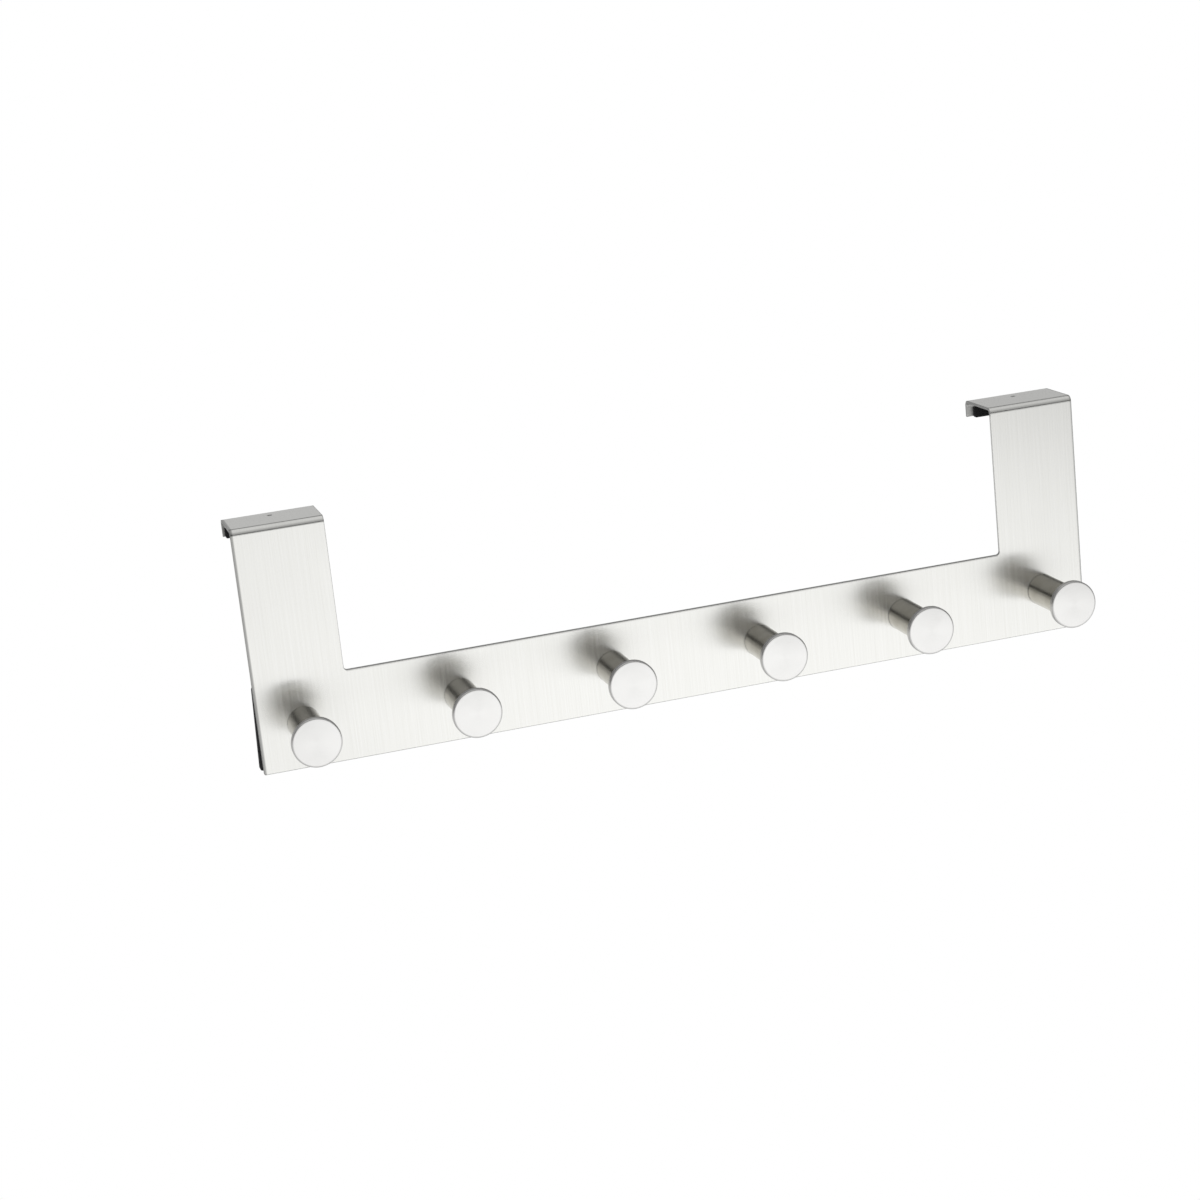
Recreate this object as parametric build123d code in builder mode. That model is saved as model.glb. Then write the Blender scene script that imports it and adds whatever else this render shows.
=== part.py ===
from build123d import *
import os

# Over-door rack: one folded sheet that hangs on a door's top edge, with a row of turned knobs.
# Lengths are in millimetres. The origin is midway between the two folds, on the plane where
# they rest on the door. X runs along the rail, the knobs point towards -Y and Z is up.

# Door edge that the folds reach over, and the foam on both sides of it
door_edge_thickness = 20.0
rail_pad_thickness = 4.0
lip_pad_thickness = 2.0

# Folded sheet
plate_width = 400.0
plate_height = 112.0
rail_height = 41.5
strap_width = 41.5
sheet_thickness = 1.2
bend_radius = 1.5
lip_height = 8.0
inner_corner_radius = 1.6
outer_corner_radius = 0.8
pin_hole_diameter = 2.0
pin_hole_from_rear = 9.0

# Turned knobs
knob_count = 6
knob_length = 34.0
stem_diameter = 15.0
foot_chamfer = 0.4
head_diameter = 22.3
head_thickness = 3.0
crown_height = 0.15
crown_flat_diameter = 5.0
neck_radius = 2.6
rim_front_radius = 0.6
rim_back_chamfer = 0.4

# Screws that hold the knobs from behind
screw_diameter = 4.0
screw_grip = 10.0
screw_head_diameter = 7.6
screw_head_height = 2.8
screw_head_chamfer = 0.9
sheet_hole_clearance = 0.2
thread_clearance = 0.05
bore_spare_depth = 2.0
bore_tip_depth = 1.2

# Foam pads
rail_pad_side_margin = 2.0
rail_pad_end_overhang = 1.2
rail_pad_end_angle = 88.0
pad_hole_clearance = 1.6
lip_pad_outer_margin = 1.0
lip_pad_inner_margin = 3.3
lip_pad_top_margin = 1.0
lip_pad_overhang = 0.6

# Levels and faces worked out from the sizes above
gap_half = (door_edge_thickness + rail_pad_thickness + lip_pad_thickness) / 2
plate_back = -gap_half
plate_front = plate_back - sheet_thickness
lip_front = gap_half
lip_back = lip_front + sheet_thickness
plate_top = sheet_thickness
plate_bottom = plate_top - plate_height
rail_top = plate_bottom + rail_height
rail_centre = plate_bottom + rail_height / 2
lip_bottom = plate_top - lip_height
strap_centre = (plate_width - strap_width) / 2
knob_pitch = 2 * strap_centre / (knob_count - 1)

# Planes on the rail's front and back faces, centred on the row of knobs
rail_front_face = Plane(origin=(0, plate_front, rail_centre), x_dir=(1, 0, 0), z_dir=(0, -1, 0))
rail_back_face = Plane(origin=(0, plate_back, rail_centre), x_dir=(1, 0, 0), z_dir=(0, 1, 0))

os.makedirs("parts", exist_ok=True)

# Folded sheet: the inner line of the folds, thickened outwards and run over the full width. The
# window between the straps is cut out with rounded lower corners, then the screw and pin holes.
with BuildPart() as back_plate:
    with BuildSketch(Plane.YZ) as fold_section:
        with BuildLine() as fold_line:
            FilletPolyline(
                (plate_back, plate_bottom),
                (plate_back, 0),
                (lip_front, 0),
                (lip_front, lip_bottom),
                radius=bend_radius,
            )
            offset(amount=sheet_thickness, side=Side.LEFT)
        make_face()
    extrude(amount=plate_width / 2, both=True)
    with BuildSketch(Plane.XZ) as window:
        with Locations((0, rail_top)):
            Rectangle(plate_width - 2 * strap_width, plate_height, align=(Align.CENTER, Align.MIN))
        fillet(window.vertices().group_by(Axis.Y)[0], inner_corner_radius)
    extrude(amount=2 * lip_back, both=True, mode=Mode.SUBTRACT)
    rail_corners = back_plate.edges().filter_by(Axis.Y).group_by(Axis.Z)[0]
    fillet(rail_corners, outer_corner_radius)
    with Locations(rail_front_face):
        with GridLocations(knob_pitch, 1, knob_count, 1):
            Hole(screw_diameter / 2 + sheet_hole_clearance, depth=sheet_thickness)
    with Locations((0, lip_back - pin_hole_from_rear, plate_top)):
        with GridLocations(2 * strap_centre, 1, 2, 1):
            Hole(pin_hole_diameter / 2, depth=sheet_thickness)
back_plate.part.label = "back_plate"
export_step(back_plate.part, "parts/back_plate.step")

# Turned knobs: half a section, with the blind screw bore in its foot, spun about the knob's axis.
# In the section x is the distance from the axis and y the distance from the rail's front face.
stem_radius = stem_diameter / 2
head_radius = head_diameter / 2
head_back = knob_length - head_thickness
head_front = knob_length - crown_height
flat_radius = crown_flat_diameter / 2
crown_radius = ((head_radius - flat_radius) ** 2 + crown_height**2) / (2 * crown_height)
bore_radius = screw_diameter / 2 + thread_clearance
bore_depth = screw_grip + bore_spare_depth
for index in range(knob_count):
    knob_x = (index - (knob_count - 1) / 2) * knob_pitch
    knob_foot = Plane(origin=(knob_x, plate_front, rail_centre), x_dir=(1, 0, 0), z_dir=(0, 0, -1))
    with BuildPart() as knob:
        with BuildSketch(knob_foot) as half_section:
            with BuildLine():
                Polyline(
                    (flat_radius, knob_length),
                    (0, knob_length),
                    (0, bore_depth + bore_tip_depth),
                    (bore_radius, bore_depth),
                    (bore_radius, 0),
                    (stem_radius - foot_chamfer, 0),
                    (stem_radius, foot_chamfer),
                    (stem_radius, head_back),
                    (head_radius, head_back),
                    (head_radius, head_front),
                )
                RadiusArc((head_radius, head_front), (flat_radius, knob_length), -crown_radius)
            make_face()
            fillet(half_section.vertices().sort_by_distance((stem_radius, head_back))[0], neck_radius)
            chamfer(half_section.vertices().sort_by_distance((head_radius, head_back))[0], rim_back_chamfer)
            fillet(half_section.vertices().sort_by_distance((head_radius, head_front))[0], rim_front_radius)
        revolve(axis=Axis((knob_x, plate_front, rail_centre), (0, -1, 0)))
    knob.part.label = f"knob_{index + 1}"
    export_step(knob.part, f"parts/{knob.part.label}.step")

# Pan-head screws, seated on the back of the sheet and reaching into the knobs.
with BuildPart(rail_back_face) as knob_screws:
    with GridLocations(knob_pitch, 1, knob_count, 1):
        Cylinder(screw_head_diameter / 2, screw_head_height, align=(Align.CENTER, Align.CENTER, Align.MIN))
        Cylinder(
            screw_diameter / 2,
            sheet_thickness + screw_grip,
            align=(Align.CENTER, Align.CENTER, Align.MAX),
        )
    chamfer(knob_screws.edges().group_by(Axis.Y)[-1], screw_head_chamfer)
knob_screws.part.label = "knob_screws"
export_step(knob_screws.part, "parts/knob_screws.step")

# Foam strip on the back of the rail, punched clear of the screw heads. Its ends are cut on a slant
# and show past the sheet at the lower corners.
with BuildPart(rail_back_face) as rail_pad:
    with BuildSketch(rail_back_face) as strip:
        Trapezoid(
            plate_width + 2 * rail_pad_end_overhang,
            rail_height - 2 * rail_pad_side_margin,
            rail_pad_end_angle,
            rotation=180,
        )
    extrude(amount=rail_pad_thickness)
    with Locations((0, 0, rail_pad_thickness)):
        with GridLocations(knob_pitch, 1, knob_count, 1):
            Hole(screw_head_diameter / 2 + pad_hole_clearance, depth=rail_pad_thickness)
rail_pad.part.label = "rail_pad"
export_step(rail_pad.part, "parts/rail_pad.step")

# Foam pads on the inner faces of the rear lips, from under the bend to just below the lip's edge,
# and nearer to the rack's ends than to its middle.
lip_pad_top = -bend_radius - lip_pad_top_margin
lip_pad_bottom = lip_bottom - lip_pad_overhang
lip_pad_centre = strap_centre + (lip_pad_inner_margin - lip_pad_outer_margin) / 2
for side_name, side in (("left", -1), ("right", 1)):
    pad_seat = (side * lip_pad_centre, lip_front, lip_pad_top)
    with BuildPart(Plane(origin=pad_seat, x_dir=(1, 0, 0), z_dir=(0, -1, 0))) as lip_pad:
        Box(
            strap_width - lip_pad_outer_margin - lip_pad_inner_margin,
            lip_pad_top - lip_pad_bottom,
            lip_pad_thickness,
            align=(Align.CENTER, Align.MAX, Align.MIN),
        )
    lip_pad.part.label = f"lip_pad_{side_name}"
    export_step(lip_pad.part, f"parts/{lip_pad.part.label}.step")
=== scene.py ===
import math

import bmesh
import bpy
from mathutils import Matrix, Vector


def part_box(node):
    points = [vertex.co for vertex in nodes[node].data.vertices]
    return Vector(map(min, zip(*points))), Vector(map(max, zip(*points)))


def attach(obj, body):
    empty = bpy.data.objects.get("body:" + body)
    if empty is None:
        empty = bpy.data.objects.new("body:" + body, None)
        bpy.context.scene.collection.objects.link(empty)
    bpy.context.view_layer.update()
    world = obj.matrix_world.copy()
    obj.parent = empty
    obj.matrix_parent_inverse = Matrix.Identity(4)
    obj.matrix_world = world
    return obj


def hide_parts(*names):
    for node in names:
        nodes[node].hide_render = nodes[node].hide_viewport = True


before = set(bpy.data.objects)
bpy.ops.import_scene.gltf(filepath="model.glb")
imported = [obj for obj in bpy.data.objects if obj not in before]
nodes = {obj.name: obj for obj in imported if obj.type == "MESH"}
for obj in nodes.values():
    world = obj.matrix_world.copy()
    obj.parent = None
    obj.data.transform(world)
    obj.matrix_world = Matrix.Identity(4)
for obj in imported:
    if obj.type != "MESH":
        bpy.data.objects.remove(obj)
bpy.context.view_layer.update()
mm = 0.001

# Sizes and places read from the frame, in metres
plate_low, plate_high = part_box("back_plate")
screws_low, screws_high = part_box("knob_screws")
knob_names = sorted(name for name in nodes if name.startswith("knob_") and name != "knob_screws")
knob_low, knob_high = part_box(knob_names[0])
knob_count = len(knob_names)
knob_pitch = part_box(knob_names[1])[0].x - knob_low.x
head_radius = (knob_high.z - knob_low.z) / 2
first_knob_x = (knob_low.x + knob_high.x) / 2
rail_centre = (knob_low.z + knob_high.z) / 2
rail_top = 2 * rail_centre - plate_low.z
plate_front = knob_high.y
plate_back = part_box("rail_pad")[0].y

# Sizes that the frame doesn't give
lip_height = 8 * mm
strap_width = 41.5 * mm
stem_radius = 7.5 * mm
pad_hole_radius = 5.4 * mm
pad_end_angle = math.radians(88)
screw_shank_radius = 2 * mm

# Kinds of sockets that node groups have
whole_number = "NodeSocketInt"
number = "NodeSocketFloat"
vector = "NodeSocketVector"
finish = "NodeSocketMaterial"
shape = "NodeSocketGeometry"


def add_node(tree, kind, inputs=None, **settings):
    """Adds a node, sets its options, then gives each input a value or a link."""
    node = tree.nodes.new(kind)
    for name, value in settings.items():
        setattr(node, name, value)
    for name, value in (inputs or {}).items():
        if isinstance(value, bpy.types.NodeSocket):
            tree.links.new(value, node.inputs[name])
        else:
            node.inputs[name].default_value = value
    return node


def node_result(tree, kind, inputs, **settings):
    """The first output of a new node."""
    return add_node(tree, kind, inputs, **settings).outputs[0]


def calculate(tree, operation, *values, clamp=False):
    """A Math node's result."""
    inputs = dict(enumerate(values))
    return node_result(tree, "ShaderNodeMath", inputs, operation=operation, use_clamp=clamp)


def combine(tree, x=0.0, y=0.0, z=0.0):
    return node_result(tree, "ShaderNodeCombineXYZ", {"X": x, "Y": y, "Z": z})


def separate(tree, value):
    return add_node(tree, "ShaderNodeSeparateXYZ", {"Vector": value}).outputs


def remap(tree, value, low, high, new_low=0.0, new_high=1.0):
    """Carries value smoothly from one range to another, held inside the new one."""
    inputs = {"Value": value, "From Min": low, "From Max": high, "To Min": new_low, "To Max": new_high}
    return node_result(tree, "ShaderNodeMapRange", inputs, interpolation_type="SMOOTHSTEP")


def mix_colours(tree, factor, first, second):
    """A Mix node's colour. The node repeats its socket names, so they go by number here."""
    inputs = {0: factor, 6: first, 7: second}
    return add_node(tree, "ShaderNodeMix", inputs, data_type="RGBA").outputs[2]


def grey(value):
    return (value, value, value, 1)


def new_group(name, kind, inputs, outputs):
    """An empty node group with named sockets. Gives its tree, its inputs and its output node."""
    tree = bpy.data.node_groups.new(name, kind)
    for label, socket_kind in inputs:
        tree.interface.new_socket(label, in_out="INPUT", socket_type=socket_kind)
    for label, socket_kind in outputs:
        tree.interface.new_socket(label, in_out="OUTPUT", socket_type=socket_kind)
    return tree, tree.nodes.new("NodeGroupInput").outputs, tree.nodes.new("NodeGroupOutput")


def finish_group(tree, output_node, results):
    for label, socket in results.items():
        tree.links.new(socket, output_node.inputs[label])


def use_group(tree, group, inputs):
    return add_node(tree, "ShaderNodeGroup", inputs, node_tree=group).outputs


# Shader effects that several finishes share, and the ranges that they spread or follow
line_contrast = (0.25, 0.75)
# How far the rounded normal turns over the edge mask's rise, for the screws' wear and the sheet's painted
# edge shade
edge_mask_turn = (0.006, 0.09)
mark_contrast = (0.35, 0.7)
satin_lines = (0.2, 0.8)


def make_line_group():
    """Fine parallel tool lines. The coordinates' first axis runs across the lines."""
    sockets = [("Coordinates", vector), ("Width", number), ("Length", number)]
    tree, given, output = new_group("Tool Lines", "ShaderNodeTree", sockets, [("Lines", number)])
    across = calculate(tree, "DIVIDE", 1.0, given["Width"])
    along = calculate(tree, "DIVIDE", 1.0, given["Length"])
    scaling = {0: given["Coordinates"], 1: combine(tree, across, along, along)}
    stretched = node_result(tree, "ShaderNodeVectorMath", scaling, operation="MULTIPLY")
    noise_inputs = {"Vector": stretched, "Scale": 1.0, "Detail": 3.0, "Roughness": 0.65}
    noise = add_node(tree, "ShaderNodeTexNoise", noise_inputs)
    finish_group(tree, output, {"Lines": remap(tree, noise.outputs["Fac"], *line_contrast)})
    return tree


def make_edge_group():
    """Softened edges: a rounded normal near each edge, and a mask of the edge, which the screws use for wear
    and the sheet for painted edge shade.
    """
    outputs = [("Mask", number), ("Normal", vector)]
    tree, given, output = new_group("Soft Edges", "ShaderNodeTree", [("Radius", number)], outputs)
    rounded = node_result(tree, "ShaderNodeBevel", {"Radius": given["Radius"]}, samples=8)
    normal = tree.nodes.new("ShaderNodeNewGeometry").outputs["Normal"]
    alike = add_node(tree, "ShaderNodeVectorMath", {0: rounded, 1: normal}, operation="DOT_PRODUCT")
    turned = calculate(tree, "SUBTRACT", 1.0, alike.outputs["Value"])
    finish_group(tree, output, {"Mask": remap(tree, turned, *edge_mask_turn), "Normal": rounded})
    return tree


def make_mark_group():
    """Soft cloudy marks left by handling."""
    sockets = [("Coordinates", vector), ("Size", number)]
    tree, given, output = new_group("Handling Marks", "ShaderNodeTree", sockets, [("Marks", number)])
    scale = calculate(tree, "DIVIDE", 1.0, given["Size"])
    noise_inputs = {"Vector": given["Coordinates"], "Scale": scale, "Detail": 4.0, "Roughness": 0.55}
    noise = add_node(tree, "ShaderNodeTexNoise", noise_inputs)
    finish_group(tree, output, {"Marks": remap(tree, noise.outputs["Fac"], *mark_contrast)})
    return tree


tool_lines = make_line_group()
soft_edges = make_edge_group()
handling_marks = make_mark_group()


def lines_on(tree, coordinates, line_size):
    """Tool lines of a size, which is their width and their length."""
    width, length = line_size
    inputs = {"Coordinates": coordinates, "Width": width, "Length": length}
    return use_group(tree, tool_lines, inputs)["Lines"]


def marks_on(tree, coordinates, size):
    return use_group(tree, handling_marks, {"Coordinates": coordinates, "Size": size})["Marks"]


def add_up_lines(tree, fine, broad, fine_share):
    fine_part = calculate(tree, "MULTIPLY", fine, fine_share)
    return calculate(tree, "ADD", fine_part, calculate(tree, "MULTIPLY", broad, 1 - fine_share))


def satin_roughness(tree, lines, marks, roughness_range, mark_share):
    """Roughness that follows the tool lines over a range, and that the marks raise."""
    grain = remap(tree, lines, *satin_lines, *roughness_range)
    return calculate(tree, "ADD", grain, calculate(tree, "MULTIPLY", marks, mark_share))


def edge_band(tree, value, edge, band):
    """A band along an edge: full strength up to its near side, and gone from its far side on."""
    near, far, strength = band
    return remap(tree, value, edge + near, edge + far, strength, 0.0)


def bare_material(name):
    """A material with an empty tree."""
    material = bpy.data.materials.new(name)
    material.use_nodes = True
    material.node_tree.nodes.clear()
    return material, material.node_tree


def new_material(name):
    """A material with its tree, its Principled shader and its Object coordinates."""
    material, tree = bare_material(name)
    shader = tree.nodes.new("ShaderNodeBsdfPrincipled")
    add_node(tree, "ShaderNodeOutputMaterial", {"Surface": shader.outputs["BSDF"]})
    coordinates = tree.nodes.new("ShaderNodeTexCoord").outputs["Object"]
    return material, tree, shader, coordinates


def feed(tree, shader, colour, roughness, normal):
    tree.links.new(colour, shader.inputs["Base Color"])
    tree.links.new(roughness, shader.inputs["Roughness"])
    tree.links.new(normal, shader.inputs["Normal"])


def bump(tree, height, depth, strength, normal):
    inputs = {"Height": height, "Distance": depth, "Strength": strength, "Normal": normal}
    return node_result(tree, "ShaderNodeBump", inputs)


# Brushed sheet: colours, lines as width and length, and bands as near side, far side and strength
brushed_dark = (0.91, 0.908, 0.874, 1)
brushed_light = (1.0, 0.998, 0.97, 1)
milled_dark = (0.75, 0.75, 0.735, 1)
milled_light = (0.81, 0.81, 0.795, 1)
cut_edge_colour = (0.5, 0.5, 0.49, 1)
# Painted reflection: the straps' cut edges are lighter than the other cut edges of the same sheet
strap_edge_colour = (0.85, 0.85, 0.83, 1)
# Painted shade: the colour of the dark lines along the sheet's ends and the rail's top edge
edge_line_shade_colour = (0.3, 0.3, 0.29, 1)
fine_grain = (0.28 * mm, 45 * mm)
broad_grain = (0.9 * mm, 110 * mm)
fine_grain_share = 0.55
sheet_mark_size = 45 * mm
sheet_edge_radius = 0.7 * mm
# Bands of painted shade along the left end, the right end and the rail's top edge
left_edge_band = (0.7 * mm, 1.5 * mm, 0.8)
right_edge_band = (-0.4 * mm, -1.1 * mm, 0.4)
rail_edge_band = (-0.5 * mm, -1.1 * mm, 0.38)
strap_foot_band = (2.5 * mm, 0.5 * mm, 1.0)
strap_fold_band = (-5 * mm, -3 * mm, 1.0)
strap_front_depth = 2 * mm
window_corner_margin = 1 * mm
lip_edge_margin = 0.2 * mm
# Painted shade: how far the face near the sheet's edges darkens towards the cut-edge colour, less on the
# straps' fronts
painted_edge_shade = 0.8
strap_painted_edge_shade = 0.2
brushed_roughness = (0.2, 0.225)
milled_roughness = 0.32
cut_edge_roughness = 0.5
grain_depth = 0.01 * mm


def surface_normal(tree):
    return separate(tree, tree.nodes.new("ShaderNodeNewGeometry").outputs["Normal"])


def cut_edge_mask(tree, place):
    """1 on the sheet's cut edges, which face sideways, or up or down below the folds."""
    normal = surface_normal(tree)
    squarely = 0.6
    lip_edge = plate_high.z - lip_height + lip_edge_margin
    sideways = calculate(tree, "GREATER_THAN", calculate(tree, "ABSOLUTE", normal["X"]), squarely)
    upright = calculate(tree, "GREATER_THAN", calculate(tree, "ABSOLUTE", normal["Z"]), squarely)
    low = calculate(tree, "LESS_THAN", place["Z"], lip_edge)
    return calculate(tree, "MAXIMUM", sideways, calculate(tree, "MULTIPLY", upright, low))


def inner_side_mask(tree, place):
    """1 on the unbrushed side of the sheet, which faces the door: behind the rail and inside the folds."""
    normal = surface_normal(tree)
    inwards = -0.3
    below_bends = -3 * mm
    outwards = calculate(tree, "MULTIPLY", normal["Y"], calculate(tree, "SIGN", place["Y"]))
    towards_door = calculate(tree, "LESS_THAN", outwards, inwards)
    in_fold = calculate(tree, "GREATER_THAN", place["Z"], below_bends)
    under_fold = calculate(tree, "MULTIPLY", calculate(tree, "LESS_THAN", normal["Z"], inwards), in_fold)
    return calculate(tree, "MAXIMUM", towards_door, under_fold)


def strap_front_mask(tree, place):
    """1 on the front of the straps, between the rail and the folds."""
    ahead = calculate(tree, "LESS_THAN", place["Y"], plate_front + strap_front_depth)
    above_rail = edge_band(tree, place["Z"], rail_top, strap_foot_band)
    below_fold = edge_band(tree, place["Z"], plate_high.z, strap_fold_band)
    return calculate(tree, "MULTIPLY", ahead, calculate(tree, "MULTIPLY", above_rail, below_fold))


def painted_edge_lines(tree, place):
    """Painted shade: dark lines along the sheet's ends and along the rail's top edge below the window."""
    left = edge_band(tree, place["X"], plate_low.x, left_edge_band)
    right = edge_band(tree, place["X"], plate_high.x, right_edge_band)
    top = edge_band(tree, place["Z"], rail_top, rail_edge_band)
    window_half = plate_high.x - strap_width - window_corner_margin
    in_window = calculate(tree, "LESS_THAN", calculate(tree, "ABSOLUTE", place["X"]), window_half)
    ends = calculate(tree, "MAXIMUM", left, right)
    return calculate(tree, "MAXIMUM", ends, calculate(tree, "MULTIPLY", top, in_window))


def brushed_sheet():
    """Stainless sheet, brushed along its length, so the grain is upright on the front."""
    material, tree, shader, coordinates = new_material("brushed_sheet")
    place = separate(tree, coordinates)
    fine = lines_on(tree, coordinates, fine_grain)
    lines = add_up_lines(tree, fine, lines_on(tree, coordinates, broad_grain), fine_grain_share)
    marks = marks_on(tree, coordinates, sheet_mark_size)
    edges = use_group(tree, soft_edges, {"Radius": sheet_edge_radius})
    cut = cut_edge_mask(tree, place)
    inner = inner_side_mask(tree, place)
    strap = strap_front_mask(tree, place)

    brushed_face = mix_colours(tree, lines, brushed_dark, brushed_light)
    milled_face = mix_colours(tree, marks, milled_dark, milled_light)
    face = mix_colours(tree, inner, brushed_face, milled_face)
    # Painted shade: the face near each edge darkens towards the cut-edge colour, standing for the dark
    # reflection of the rounded edge
    edge_shade_strength = remap(tree, strap, 0.0, 1.0, painted_edge_shade, strap_painted_edge_shade)
    edge_shade = calculate(tree, "MULTIPLY", edges["Mask"], edge_shade_strength)
    edge_shaded = mix_colours(tree, edge_shade, face, cut_edge_colour)
    # Painted shade: dark lines along the sheet's ends and the rail's top edge
    edge_lined = mix_colours(tree, painted_edge_lines(tree, place), edge_shaded, edge_line_shade_colour)
    # Painted reflection: cut edges on the straps' fronts get the lighter strap edge colour
    edge_colour = mix_colours(tree, strap, cut_edge_colour, strap_edge_colour)
    colour = mix_colours(tree, cut, edge_lined, edge_colour)

    brushed = satin_roughness(tree, lines, marks, brushed_roughness, mark_share=0.02)
    cut_dull = calculate(tree, "MULTIPLY", cut, cut_edge_roughness)
    milled_dull = calculate(tree, "MULTIPLY", inner, milled_roughness)
    dull = calculate(tree, "MAXIMUM", cut_dull, milled_dull)
    roughness = calculate(tree, "MAXIMUM", brushed, dull)
    relief = bump(tree, fine, grain_depth, strength=0.06, normal=edges["Normal"])
    feed(tree, shader, colour, roughness, relief)
    tree.links.new(combine(tree, 1.0), shader.inputs["Tangent"])
    shader.inputs["Metallic"].default_value = 1.0
    shader.inputs["Anisotropic"].default_value = 0.82
    return material


# Turned knobs: colours, lines as width and length, and bands as near side, far side and strength
faced_dark = (0.93, 0.925, 0.91, 1)
faced_light = (0.975, 0.97, 0.955, 1)
# Painted shade and reflection: the stems are much darker and warmer than the heads of the same steel
stem_shade_light = (0.5, 0.48, 0.425, 1)
stem_shade_dark = (0.43, 0.408, 0.352, 1)
# Painted shade: the darker ring round each head's rounded rim
rim_shade_colour = (0.64, 0.635, 0.625, 1)
# Painted shadow: a dark line round each stem's foot, where it meets the plate
foot_shadow_colour = (0.2, 0.195, 0.185, 1)
fine_turning = (0.14 * mm, 25 * mm)
broad_turning = (0.9 * mm, 40 * mm)
fine_turning_share = 0.6
knob_mark_size = 9 * mm
knob_edge_radius = 0.2 * mm
rim_band = (-0.45 * mm, -1.0 * mm, 1.0)
stem_band = (0.2 * mm, 1.5 * mm, 1.0)
foot_shadow_band = (-0.3 * mm, -0.9 * mm, 0.75)
head_face_depth = 1.5 * mm
rim_shade_strength = 0.9
turned_roughness = (0.2, 0.24)
stem_smoothing = 0.08
rim_dulling = 0.08
turning_depth = 0.008 * mm


def spoke_of_knob(tree, place):
    """The line from the axis of the nearest knob out to each point."""
    half_pitch = knob_pitch / 2
    wrapped = calculate(tree, "WRAP", place["X"], first_knob_x + half_pitch, first_knob_x - half_pitch)
    out_x = calculate(tree, "SUBTRACT", wrapped, first_knob_x)
    out_z = calculate(tree, "SUBTRACT", place["Z"], rail_centre)
    return combine(tree, out_x, 0.0, out_z)


def turned_steel():
    """Stainless round stock turned on a lathe, with tool lines that run round each knob's own axis, and
    painted shade on the stems, rims and feet.
    """
    material, tree, shader, coordinates = new_material("turned_steel")
    place = separate(tree, coordinates)
    spoke = spoke_of_knob(tree, place)
    radius = add_node(tree, "ShaderNodeVectorMath", {0: spoke}, operation="LENGTH").outputs["Value"]
    direction = node_result(tree, "ShaderNodeVectorMath", {0: spoke}, operation="NORMALIZE")
    around_inputs = {0: direction, "Scale": stem_radius}
    around = separate(tree, node_result(tree, "ShaderNodeVectorMath", around_inputs, operation="SCALE"))
    across = calculate(tree, "SUBTRACT", radius, place["Y"])
    lathe = combine(tree, across, around["X"], around["Z"])
    fine = lines_on(tree, lathe, fine_turning)
    lines = add_up_lines(tree, fine, lines_on(tree, lathe, broad_turning), fine_turning_share)
    marks = marks_on(tree, coordinates, knob_mark_size)
    edges = use_group(tree, soft_edges, {"Radius": knob_edge_radius})
    rim = edge_band(tree, radius, head_radius, rim_band)
    behind_face = calculate(tree, "GREATER_THAN", place["Y"], knob_low.y + head_face_depth)
    stem = calculate(tree, "MULTIPLY", edge_band(tree, radius, stem_radius, stem_band), behind_face)
    # Where the painted foot shadow falls: just in front of the plate
    foot_shadow = edge_band(tree, place["Y"], plate_front, foot_shadow_band)

    faced = mix_colours(tree, lines, faced_dark, faced_light)
    # Painted shade and reflection on the stems, in two tones that the marks mix
    stem_shade = mix_colours(tree, marks, stem_shade_light, stem_shade_dark)
    stem_shaded = mix_colours(tree, stem, faced, stem_shade)
    # Painted shade: a darker ring on the rounded rim of each head
    edge_shaded = mix_colours(tree, calculate(tree, "MULTIPLY", rim, rim_shade_strength), stem_shaded, rim_shade_colour)
    # Painted shadow round each stem's foot at the plate
    colour = mix_colours(tree, foot_shadow, edge_shaded, foot_shadow_colour)

    satin = satin_roughness(tree, lines, marks, turned_roughness, mark_share=0.03)
    smoother = calculate(tree, "SUBTRACT", satin, calculate(tree, "MULTIPLY", stem, stem_smoothing))
    roughness = calculate(tree, "ADD", smoother, calculate(tree, "MULTIPLY", rim, rim_dulling))
    relief = bump(tree, fine, turning_depth, strength=0.1, normal=edges["Normal"])
    feed(tree, shader, colour, roughness, relief)
    tangent = node_result(tree, "ShaderNodeTangent", {}, direction_type="RADIAL", axis="Y")
    tree.links.new(tangent, shader.inputs["Tangent"])
    shader.inputs["Metallic"].default_value = 1.0
    shader.inputs["Anisotropic"].default_value = 0.5
    shader.inputs["Anisotropic Rotation"].default_value = 0.25
    return material


# Zinc plate on the screws: colours, and lines as width and length
zinc_dark = (0.6, 0.62, 0.65, 1)
zinc_light = (0.75, 0.77, 0.79, 1)
zinc_worn = (0.86, 0.86, 0.85, 1)
zinc_lines = (0.2 * mm, 0.5 * mm)
zinc_mark_size = 1.6 * mm
screw_edge_radius = 0.15 * mm
zinc_wear = 0.5
zinc_roughness = (0.24, 0.4)
zinc_depth = 0.01 * mm


def bright_zinc():
    """Zinc plate, a little blue, cloudy, and rubbed lighter at the recess."""
    material, tree, shader, coordinates = new_material("bright_zinc")
    marks = marks_on(tree, coordinates, zinc_mark_size)
    lines = lines_on(tree, coordinates, zinc_lines)
    edges = use_group(tree, soft_edges, {"Radius": screw_edge_radius})
    face = mix_colours(tree, marks, zinc_dark, zinc_light)
    colour = mix_colours(tree, calculate(tree, "MULTIPLY", edges["Mask"], zinc_wear), face, zinc_worn)
    roughness = remap(tree, marks, 0.0, 1.0, *zinc_roughness)
    relief = bump(tree, lines, zinc_depth, strength=0.15, normal=edges["Normal"])
    feed(tree, shader, colour, roughness, relief)
    shader.inputs["Metallic"].default_value = 1.0
    return material


# Foam: colours, and its cells
foam_dark = (0.014, 0.014, 0.015, 1)
foam_light = (0.024, 0.024, 0.025, 1)
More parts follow.
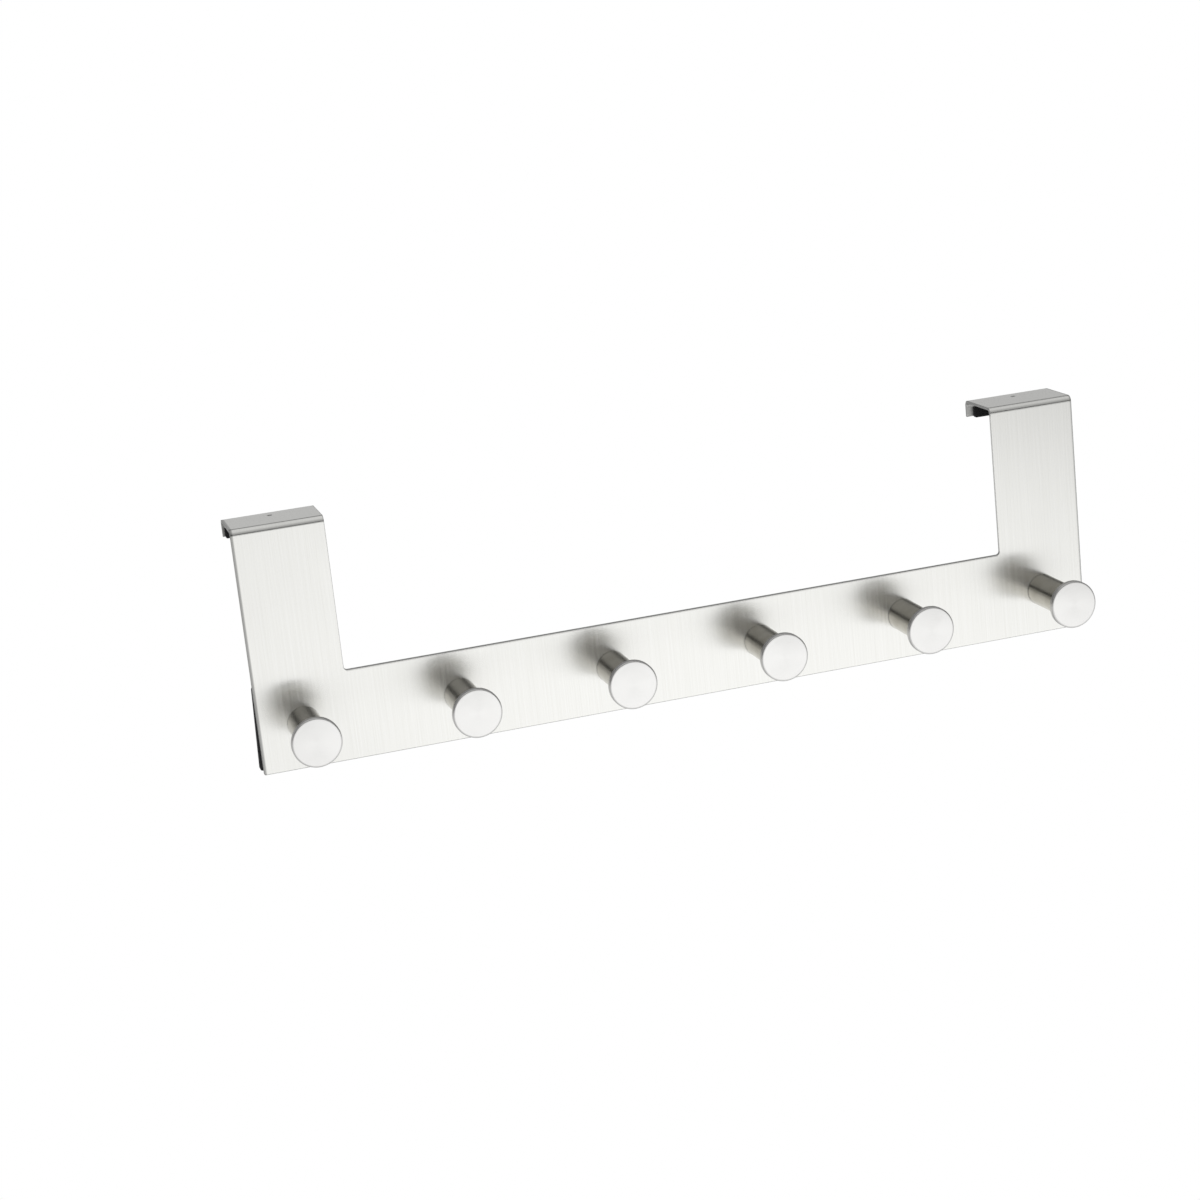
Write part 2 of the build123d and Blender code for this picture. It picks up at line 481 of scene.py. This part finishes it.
# Painted shade in the hollows of the cut cells
pit_shade_colour = (0.008, 0.008, 0.009, 1)
foam_mark_size = 18 * mm
cell_size = 0.7 * mm
cell_contrast = (0.1, 0.55)
foam_roughness = (0.95, 0.78)
pit_depth = 0.15 * mm


def black_foam():
    """Closed-cell foam, with small cut cells all over it."""
    material, tree, shader, coordinates = new_material("black_foam")
    marks = marks_on(tree, coordinates, foam_mark_size)
    cells = add_node(tree, "ShaderNodeTexVoronoi", {"Vector": coordinates, "Scale": 1 / cell_size})
    pits = remap(tree, cells.outputs["Distance"], *cell_contrast)
    skin = mix_colours(tree, marks, foam_dark, foam_light)
    # Painted shade: the cells' hollows are darker than the foam's skin
    colour = mix_colours(tree, pits, pit_shade_colour, skin)
    roughness = remap(tree, pits, 0.0, 1.0, *foam_roughness)
    normal = tree.nodes.new("ShaderNodeNewGeometry").outputs["Normal"]
    relief = bump(tree, pits, pit_depth, strength=0.6, normal=normal)
    feed(tree, shader, colour, roughness, relief)
    shader.inputs["Specular IOR Level"].default_value = 0.3
    return material


finishes = {
    "brushed_sheet": brushed_sheet(),
    "turned_steel": turned_steel(),
    "screw_steel": bright_zinc(),
    "foam": black_foam(),
}

# Pieces made by Geometry Nodes: small sizes, and how finely round stretches are divided
weld_distance = 0.002 * mm
thread_pitch = 0.7 * mm
thread_depth = 0.4 * mm
recess_span = 4.2 * mm
recess_width = 0.95 * mm
recess_depth = 1.5 * mm
screw_seed = 4
foam_corner_radius = 0.8 * mm
foam_bevel_width = 0.45 * mm
head_steps = (48, 20)
shank_steps = (32, 120)
hole_steps = 40
foam_corner_steps = 5
bevel_steps = 3
bevel_from_angle = math.radians(50)
sharp_from_angle = math.radians(35)


def weld(tree, geometry):
    inputs = {"Geometry": geometry, "Distance": weld_distance}
    return node_result(tree, "GeometryNodeMergeByDistance", inputs)


def join(tree, pieces):
    node = tree.nodes.new("GeometryNodeJoinGeometry")
    for piece in pieces:
        tree.links.new(piece, node.inputs["Geometry"])
    return node.outputs["Geometry"]


def point_row(tree, count, start, pitch):
    """A row of points along X."""
    inputs = {"Count": count, "Start Location": start, "Offset": combine(tree, pitch)}
    return node_result(tree, "GeometryNodeMeshLine", inputs)


def finish_shape(tree, output, geometry, material):
    """Ends a tree with real geometry in one finish."""
    real = node_result(tree, "GeometryNodeRealizeInstances", {"Geometry": geometry})
    finished = node_result(tree, "GeometryNodeSetMaterial", {"Geometry": real, "Material": material})
    finish_group(tree, output, {"Geometry": finished})


def lathe_mesh(tree, steps, radius, height, angle):
    """A closed turned shape about the Y axis, from a grid whose columns go round and rows go along."""
    steps_round, steps_along = steps
    out_x = calculate(tree, "MULTIPLY", radius, calculate(tree, "COSINE", angle))
    out_z = calculate(tree, "MULTIPLY", radius, calculate(tree, "SINE", angle))
    unit_grid = {
        "Size X": 1.0,
        "Size Y": 1.0,
        "Vertices X": steps_round + 1,
        "Vertices Y": steps_along + 1,
    }
    grid = node_result(tree, "GeometryNodeMeshGrid", unit_grid)
    placing = {"Geometry": grid, "Position": combine(tree, out_x, height, out_z)}
    return weld(tree, node_result(tree, "GeometryNodeSetPosition", placing))


def grid_shares(tree):
    """How far round, as an angle, and how far along, from 0 to 1, each point of a unit grid lies."""
    place = separate(tree, tree.nodes.new("GeometryNodeInputPosition").outputs[0])
    angle = calculate(tree, "MULTIPLY", calculate(tree, "ADD", place["X"], 0.5), 2 * math.pi)
    return angle, calculate(tree, "ADD", place["Y"], 0.5)


def float_curve(tree, value, points):
    """A Float Curve node through the points, each with its kind of handle."""
    node = add_node(tree, "ShaderNodeFloatCurve", {"Value": value})
    curve = node.mapping.curves[0]
    while len(curve.points) < len(points):
        curve.points.new(0.5, 0.5)
    for point, (x, y, handle) in zip(curve.points, points):
        point.location = (x, y)
        point.handle_type = handle
    node.mapping.update()
    return node.outputs["Value"]


def screw_head(tree, given, angle, along):
    """A flat seat, a short upright side, then a low dome."""
    seat, side = 0.2, 0.4
    width_curve = [
        (0, 0, "VECTOR"), (seat, 1, "VECTOR"), (side, 0.98, "VECTOR"),
        (0.6, 0.9, "AUTO"), (0.8, 0.6, "AUTO"), (1, 0, "VECTOR"),
    ]
    rise_curve = [
        (0, 0, "VECTOR"), (seat, 0, "VECTOR"), (side, 0.45, "VECTOR"),
        (0.6, 0.8, "AUTO"), (0.8, 0.96, "AUTO"), (1, 1, "AUTO"),
    ]
    out = calculate(tree, "MULTIPLY", float_curve(tree, along, width_curve), given["Head Radius"])
    rise = calculate(tree, "MULTIPLY", float_curve(tree, along, rise_curve), given["Head Height"])
    return lathe_mesh(tree, head_steps, out, rise, angle)


def screw_shank(tree, given, angle, along):
    """A helical thread and a tapered tip, sunk into the head and closed on the axis at both ends."""
    sunk_share = 0.2
    taper_start, tip_share = 0.92, 0.72
    rows = shank_steps[1]
    row = calculate(tree, "MULTIPLY", along, float(rows))
    inner = calculate(tree, "DIVIDE", calculate(tree, "SUBTRACT", row, 1.0), rows - 2.0, clamp=True)
    sunk = calculate(tree, "MULTIPLY", given["Head Height"], sunk_share)
    reach = calculate(tree, "ADD", given["Shank Length"], sunk)
    height = calculate(tree, "SUBTRACT", sunk, calculate(tree, "MULTIPLY", inner, reach))
    turns_along = calculate(tree, "DIVIDE", height, given["Thread Pitch"])
    turns = calculate(tree, "ADD", turns_along, calculate(tree, "DIVIDE", angle, 2 * math.pi))
    crest = calculate(tree, "MULTIPLY", calculate(tree, "PINGPONG", turns, 0.5), 2.0)
    groove = calculate(tree, "MULTIPLY", crest, given["Thread Depth"])
    threaded = calculate(tree, "SUBTRACT", given["Shank Radius"], groove)
    tapered = calculate(tree, "MULTIPLY", threaded, remap(tree, inner, taper_start, 1.0, 1.0, tip_share))
    past_first = calculate(tree, "GREATER_THAN", row, 0.5)
    before_last = calculate(tree, "LESS_THAN", row, rows - 0.5)
    open_rows = calculate(tree, "MULTIPLY", past_first, before_last)
    return lathe_mesh(tree, shank_steps, calculate(tree, "MULTIPLY", tapered, open_rows), height, angle)


def cross_recess(tree, given):
    """Two crossed bars at the top of the head."""
    depth = calculate(tree, "MULTIPLY", given["Recess Depth"], 2.0)
    bars = []
    for across, upright in (("Recess Span", "Recess Width"), ("Recess Width", "Recess Span")):
        size = combine(tree, given[across], depth, given[upright])
        bars.append(node_result(tree, "GeometryNodeMeshCube", {"Size": size}))
    top = combine(tree, 0.0, given["Head Height"], 0.0)
    return node_result(tree, "GeometryNodeTransform", {"Geometry": join(tree, bars), "Translation": top})


def make_screw_tree():
    """A row of pan-head screws with a cross recess and a rolled thread, driven home at chance angles."""
    inputs = [
        ("Count", whole_number), ("Pitch", number), ("First Seat", vector),
        ("Head Radius", number), ("Head Height", number), ("Shank Radius", number), ("Shank Length", number),
        ("Thread Pitch", number), ("Thread Depth", number),
        ("Recess Span", number), ("Recess Width", number), ("Recess Depth", number),
        ("Seed", whole_number), ("Finish", finish),
    ]
    outputs = [("Geometry", shape)]
    tree, given, output = new_group("Pan Head Screws", "GeometryNodeTree", inputs, outputs)
    angle, along = grid_shares(tree)
    whole = add_node(tree, "GeometryNodeMeshBoolean", operation="UNION", solver="EXACT")
    for piece in (screw_head(tree, given, angle, along), screw_shank(tree, given, angle, along)):
        tree.links.new(piece, whole.inputs["Mesh 2"])
    cutting = {
        "Mesh 1": whole.outputs["Mesh"],
        "Mesh 2": cross_recess(tree, given),
        "Self Intersection": True,
    }
    recessed = node_result(tree, "GeometryNodeMeshBoolean", cutting, operation="DIFFERENCE", solver="EXACT")
    seats = point_row(tree, given["Count"], given["First Seat"], given["Pitch"])
    lowest, highest = 2, 3
    chance_inputs = {lowest: 0.0, highest: math.pi / 2, "Seed": given["Seed"]}
    chance = add_node(tree, "FunctionNodeRandomValue", chance_inputs, data_type="FLOAT")
    spin = combine(tree, 0.0, chance.outputs[1], 0.0)
    placing = {"Points": seats, "Instance": weld(tree, recessed), "Rotation": spin}
    screws = node_result(tree, "GeometryNodeInstanceOnPoints", placing)
    finish_shape(tree, output, screws, given["Finish"])
    return tree


def foam_outline(tree, given):
    """A rectangle with slanted ends and rounded corners."""
    slant = calculate(tree, "MULTIPLY", given["End Slant"], 2.0)
    short_side = calculate(tree, "SUBTRACT", given["Width"], slant)
    sides = {
        "Bottom Width": short_side,
        "Top Width": given["Width"],
        "Offset": 0.0,
        "Height": given["Height"],
    }
    outline = node_result(tree, "GeometryNodeCurvePrimitiveQuadrilateral", sides, mode="TRAPEZOID")
    rounding = {"Curve": outline, "Radius": given["Corner Radius"], "Count": foam_corner_steps}
    return node_result(tree, "GeometryNodeFilletCurve", rounding, mode="POLY")


def punched_holes(tree, given):
    """A centred row of circles."""
    circle_inputs = {"Resolution": hole_steps, "Radius": given["Hole Radius"]}
    circle = node_result(tree, "GeometryNodeCurvePrimitiveCircle", circle_inputs)
    spans = calculate(tree, "DIVIDE", calculate(tree, "SUBTRACT", given["Hole Count"], 1.0), -2.0)
    start = combine(tree, calculate(tree, "MULTIPLY", spans, given["Hole Pitch"]))
    row = point_row(tree, given["Hole Count"], start, given["Hole Pitch"])
    holes = node_result(tree, "GeometryNodeInstanceOnPoints", {"Points": row, "Instance": circle})
    return node_result(tree, "GeometryNodeRealizeInstances", {"Geometry": holes})


def make_foam_tree():
    """A foam pad cut from sheet, with slanted ends, rounded corners and a row of punched holes."""
    inputs = [
        ("Width", number), ("End Slant", number), ("Height", number), ("Thickness", number),
        ("Corner Radius", number), ("Hole Count", whole_number), ("Hole Pitch", number),
        ("Hole Radius", number), ("Finish", finish),
    ]
    outputs = [("Geometry", shape)]
    tree, given, output = new_group("Cut Foam Pad", "GeometryNodeTree", inputs, outputs)
    curves = join(tree, (foam_outline(tree, given), punched_holes(tree, given)))
    sheet = node_result(tree, "GeometryNodeFillCurve", {"Curve": curves})
    raising = {"Mesh": sheet, "Offset Scale": given["Thickness"], "Individual": False}
    raised = node_result(tree, "GeometryNodeExtrudeMesh", raising)
    under = node_result(tree, "GeometryNodeFlipFaces", {"Mesh": sheet})
    finish_shape(tree, output, weld(tree, join(tree, (raised, under))), given["Finish"])
    return tree


def add_object(name, data):
    """A new object in the scene."""
    thing = bpy.data.objects.new(name, data)
    bpy.context.scene.collection.objects.link(thing)
    return thing


def build_piece(name, tree, values, bevel_width=0.0):
    """Runs a tree with the named values and keeps the result as a plain mesh object at the origin."""
    maker = add_object(name + "_maker", bpy.data.meshes.new(name + "_maker"))
    modifier = maker.modifiers.new("maker", "NODES")
    modifier.node_group = tree
    sockets = {item.name: item.identifier for item in tree.interface.items_tree if item.in_out == "INPUT"}
    for label, value in values.items():
        modifier[sockets[label]] = value
    if bevel_width:
        edge = maker.modifiers.new("edge", "BEVEL")
        edge.width = bevel_width
        edge.segments = bevel_steps
        edge.limit_method = "ANGLE"
        edge.angle_limit = bevel_from_angle
    bpy.context.view_layer.update()
    evaluated = maker.evaluated_get(bpy.context.evaluated_depsgraph_get())
    mesh = bpy.data.meshes.new_from_object(evaluated)
    mesh.name = name
    maker.modifiers.clear()
    bpy.data.objects.remove(maker)
    mesh.shade_smooth()
    mesh.set_sharp_from_angle(angle=sharp_from_angle)
    return add_object(name, mesh)


def show_piece(piece, node):
    """The piece stands for a CAD node and moves with the rack."""
    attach(piece, "root")
    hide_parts(node)


def add_screws():
    screws = build_piece("screws", make_screw_tree(), {
        "Count": knob_count,
        "Pitch": knob_pitch,
        "First Seat": (first_knob_x, plate_back, rail_centre),
        "Head Radius": (screws_high.z - screws_low.z) / 2,
        "Head Height": screws_high.y - plate_back,
        "Shank Radius": screw_shank_radius,
        "Shank Length": plate_back - screws_low.y,
        "Thread Pitch": thread_pitch,
        "Thread Depth": thread_depth,
        "Recess Span": recess_span,
        "Recess Width": recess_width,
        "Recess Depth": recess_depth,
        "Seed": screw_seed,
        "Finish": finishes["screw_steel"],
    })
    show_piece(screws, "knob_screws")


def add_foam(name, node, tree, facing, hole_count, end_angle=math.pi / 2):
    """A pad on the face that its CAD solid touches. facing is +1 where it grows towards +Y, or -1."""
    low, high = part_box(node)
    pad = build_piece(name, tree, {
        "Width": high.x - low.x,
        "End Slant": (high.z - low.z) / math.tan(end_angle),
        "Height": high.z - low.z,
        "Thickness": high.y - low.y,
        "Corner Radius": foam_corner_radius,
        "Hole Count": hole_count,
        "Hole Pitch": knob_pitch,
        "Hole Radius": pad_hole_radius,
        "Finish": finishes["foam"],
    }, bevel_width=foam_bevel_width)
    seat_y = low.y if facing > 0 else high.y
    seat = Matrix.Translation(((low.x + high.x) / 2, seat_y, (low.z + high.z) / 2))
    pad.data.transform(seat @ Matrix.Rotation(math.radians(-90 * facing), 4, "X"))
    show_piece(pad, node)


def dress_frame():
    """Gives the CAD nodes that stay their finishes."""
    for name in ["back_plate"] + knob_names:
        slot = "brushed_sheet" if name == "back_plate" else "turned_steel"
        nodes[name].data.materials.clear()
        nodes[name].data.materials.append(finishes[slot])


# Stage, in metres: a pale floor below, a soft dome that lights the metal, and a lamp for the foam
floor_drop = 0.3
floor_half = 4.2
floor_albedo = 0.85
dome_radius = 6.0
dome_steps = (64, 32)
lamp_place = Vector((-1.3, -1.6, 2.0))
lamp_target = Vector((0, 0, rail_centre))
lamp_size = 1.6
lamp_power = 40

# Floor as reflections show it: a level, a patch in front with its four soft sides, and some light behind
floor_level = 0.48
patch_gain = 0.52
patch_left = (-0.5, 0.12)
patch_left_share = 0.5
patch_right = (0.48, 1.75)
patch_far = (-7.0, -0.9)
patch_near = (-0.35, 0.1)
behind_rack = (0.2, 1.0)
behind_gain = 0.1

# Walls of the dome: brightness by height, from -1, straight down, to 1, overhead
front_wall = [
    (-1, 0.4), (0.04, 0.4), (0.1, 0.05), (0.14, 0.015), (0.19, 0.05),
    (0.27, 0.33), (0.5, 0.36), (0.74, 0.5), (0.88, 0.6), (1, 0.62),
]
back_wall = [(-1, 0.4), (0.05, 0.46), (0.3, 0.51), (0.45, 0.2), (0.72, 0.2), (0.86, 0.58), (1, 0.62)]
wall_blend = 0.45

# Camera at the photograph's viewing angle, with its roll in degrees
camera_place = Vector((-0.32141, -1.1076, 0.23199))
camera_target = Vector((-0.03836, plate_front, -0.05771))
camera_roll = -6.171
camera_lens = 77.03
camera_sensor = 36


def floor_reflection(tree):
    """How bright each place of the floor is in reflections."""
    place = separate(tree, tree.nodes.new("ShaderNodeTexCoord").outputs["Object"])
    left = remap(tree, place["X"], *patch_left, patch_left_share, 1.0)
    right = remap(tree, place["X"], *patch_right, 1.0, 0.0)
    far = remap(tree, place["Y"], *patch_far)
    near = remap(tree, place["Y"], *patch_near, 1.0, 0.0)
    across = calculate(tree, "MULTIPLY", left, right)
    patch = calculate(tree, "MULTIPLY", across, calculate(tree, "MULTIPLY", far, near))
    behind = remap(tree, place["Y"], *behind_rack, 0.0, behind_gain)
    base = calculate(tree, "ADD", behind, floor_level)
    return calculate(tree, "MULTIPLY_ADD", patch, patch_gain, base)


def pale_floor_material():
    """Plain white to the camera, a bright patch in front to reflections, and matt to other light."""
    material, tree = bare_material("pale_floor")
    level = floor_reflection(tree)
    rays = tree.nodes.new("ShaderNodeLightPath").outputs
    mirrored = calculate(tree, "MAXIMUM", rays["Is Glossy Ray"], rays["Is Transmission Ray"])
    seen = calculate(tree, "MAXIMUM", rays["Is Camera Ray"], mirrored)
    matt = node_result(tree, "ShaderNodeBsdfDiffuse", {"Color": grey(floor_albedo)})
    shade = mix_colours(tree, rays["Is Camera Ray"], combine(tree, level, level, level), grey(1.0))
    white = node_result(tree, "ShaderNodeEmission", {"Color": shade, "Strength": 1.0})
    mixed = node_result(tree, "ShaderNodeMixShader", {0: seen, 1: matt, 2: white})
    add_node(tree, "ShaderNodeOutputMaterial", {"Surface": mixed})
    material.cycles.emission_sampling = "NONE"
    return material


def grey_ramp(tree, height, stops):
    """A ColorRamp of greys, with heights from -1 to 1."""
    ramp = add_node(tree, "ShaderNodeValToRGB", {"Fac": calculate(tree, "MULTIPLY_ADD", height, 0.5, 0.5)})
    elements = ramp.color_ramp.elements
    while len(elements) < len(stops):
        elements.new(0.5)
    for element, (stop_height, brightness) in zip(elements, stops):
        element.position = stop_height * 0.5 + 0.5
        element.color = grey(brightness)
    return ramp.outputs["Color"]


def soft_dome_material():
    """Studio walls: dark in front above the floor, mid grey behind, and bright overhead."""
    material, tree = bare_material("soft_dome")
    place = tree.nodes.new("ShaderNodeTexCoord").outputs["Object"]
    direction = separate(tree, node_result(tree, "ShaderNodeVectorMath", {0: place}, operation="NORMALIZE"))
    front = grey_ramp(tree, direction["Z"], front_wall)
    back = grey_ramp(tree, direction["Z"], back_wall)
    colour = mix_colours(tree, remap(tree, direction["Y"], -wall_blend, wall_blend), front, back)
    glow = node_result(tree, "ShaderNodeEmission", {"Color": colour, "Strength": 1.0})
    add_node(tree, "ShaderNodeOutputMaterial", {"Surface": glow})
    material.cycles.emission_sampling = "NONE"
    return material


def add_stage():
    height = plate_low.z - floor_drop
    corners = [(x * floor_half, y * floor_half, height) for x, y in ((-1, -1), (1, -1), (1, 1), (-1, 1))]
    floor_mesh = bpy.data.meshes.new("pale_floor")
    floor_mesh.from_pydata(corners, [], [(0, 1, 2, 3)])
    floor_mesh.materials.append(pale_floor_material())
    floor = add_object("pale_floor", floor_mesh)

    shell = bmesh.new()
    steps_round, steps_up = dome_steps
    bmesh.ops.create_uvsphere(shell, u_segments=steps_round, v_segments=steps_up, radius=dome_radius)
    bmesh.ops.reverse_faces(shell, faces=shell.faces)
    dome_mesh = bpy.data.meshes.new("soft_dome")
    shell.to_mesh(dome_mesh)
    shell.free()
    dome_mesh.materials.append(soft_dome_material())
    dome = add_object("soft_dome", dome_mesh)
    dome.visible_camera = False


def aim(thing, place, target, roll=0.0):
    """Puts a lamp or camera at place, looking at target, turned about its line of sight by roll degrees."""
    look = (target - place).to_track_quat("-Z", "Y").to_matrix().to_4x4()
    thing.matrix_world = Matrix.Translation(place) @ look @ Matrix.Rotation(math.radians(roll), 4, "Z")


def add_lamp():
    """A large soft lamp that only matt surfaces see, so that the metal shows the studio alone."""
    light = bpy.data.lights.new("soft_lamp", "AREA")
    light.size = lamp_size
    light.energy = lamp_power
    lamp = add_object("soft_lamp", light)
    aim(lamp, lamp_place, lamp_target)
    lamp.visible_glossy = False
    lamp.visible_camera = False


def add_camera():
    optics = bpy.data.cameras.new("camera")
    optics.sensor_width = camera_sensor
    optics.lens = camera_lens
    camera = add_object("camera", optics)
    aim(camera, camera_place, camera_target, camera_roll)
    bpy.context.scene.camera = camera


def add_background():
    world = bpy.data.worlds.new("white_background")
    world.use_nodes = True
    background = world.node_tree.nodes["Background"]
    background.inputs["Color"].default_value = grey(1.0)
    background.inputs["Strength"].default_value = 1.0
    bpy.context.scene.world = world
    bpy.context.scene.view_settings.view_transform = "Standard"


dress_frame()
add_screws()
foam_tree = make_foam_tree()
add_foam("rail_foam", "rail_pad", foam_tree, 1, knob_count, pad_end_angle)
add_foam("lip_foam_left", "lip_pad_left", foam_tree, -1, 0)
add_foam("lip_foam_right", "lip_pad_right", foam_tree, -1, 0)
add_stage()
add_lamp()
add_camera()
add_background()
